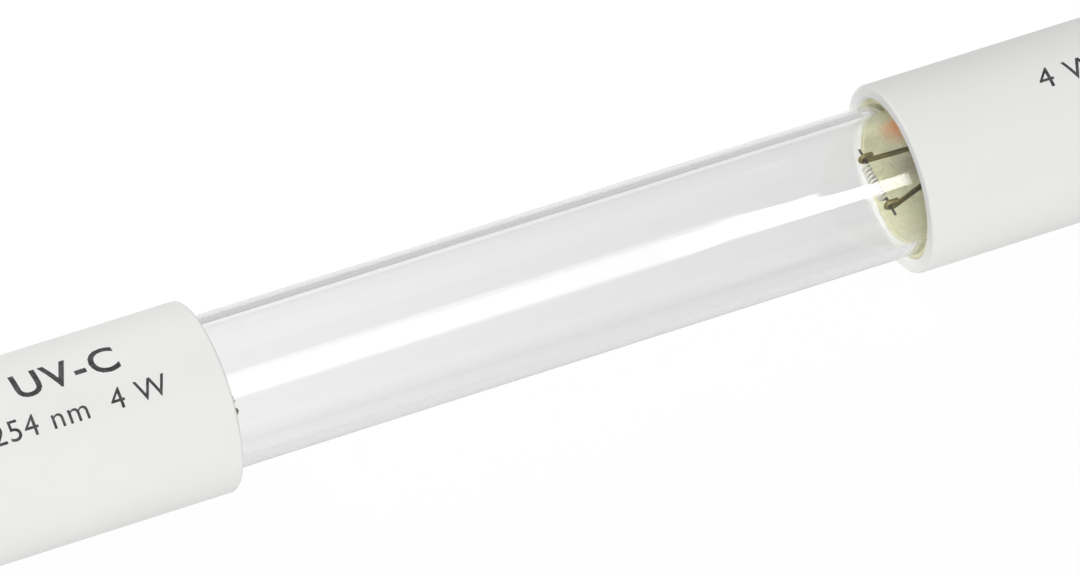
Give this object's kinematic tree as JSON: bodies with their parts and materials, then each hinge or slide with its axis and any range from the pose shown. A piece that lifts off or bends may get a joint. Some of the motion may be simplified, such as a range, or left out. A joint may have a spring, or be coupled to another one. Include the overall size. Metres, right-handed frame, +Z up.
{
  "type": "germicidal lamp tube",
  "caption": "Short clear quartz germicidal lamp tube with white ceramic two-pin caps, filament electrodes on lead wires and pressed foil seals",
  "frame": {"origin": "middle of the lamp on the axis of the tube, which is the centre of its bounding box", "axes": "+X along the tube towards the right cap, Y across it along the row of pins and the filaments, +Z up"},
  "size_m": [0.1492, 0.0188, 0.0188],
  "materials": {
    "quartz": "clear polished quartz",
    "ceramic": "white satin steatite",
    "cement": "matt khaki basing cement",
    "coated_filament": "tungsten coil with white oxide coating",
    "lead_wire": "dull oxidised molybdenum wire",
    "foil": "molybdenum foil",
    "pin_plating": "nickel-plated brass",
    "mercury": "liquid mercury"
  },
  "bodies": {
    "root": {"glass_envelope": "quartz", "mercury_bead": "mercury", "left_cap": "ceramic", "left_cement": "cement", "left_filament": "coated_filament", "left_pin_front": "pin_plating", "left_pin_back": "pin_plating", "left_foil_front": "foil", "left_foil_back": "foil", "left_inner_lead_front": "lead_wire", "left_inner_lead_back": "lead_wire", "left_outer_lead_front": "lead_wire", "left_outer_lead_back": "lead_wire", "right_cap": "ceramic", "right_cement": "cement", "right_filament": "coated_filament", "right_pin_front": "pin_plating", "right_pin_back": "pin_plating", "right_foil_front": "foil", "right_foil_back": "foil", "right_inner_lead_front": "lead_wire", "right_inner_lead_back": "lead_wire", "right_outer_lead_front": "lead_wire", "right_outer_lead_back": "lead_wire"}
  },
  "joints": []
}
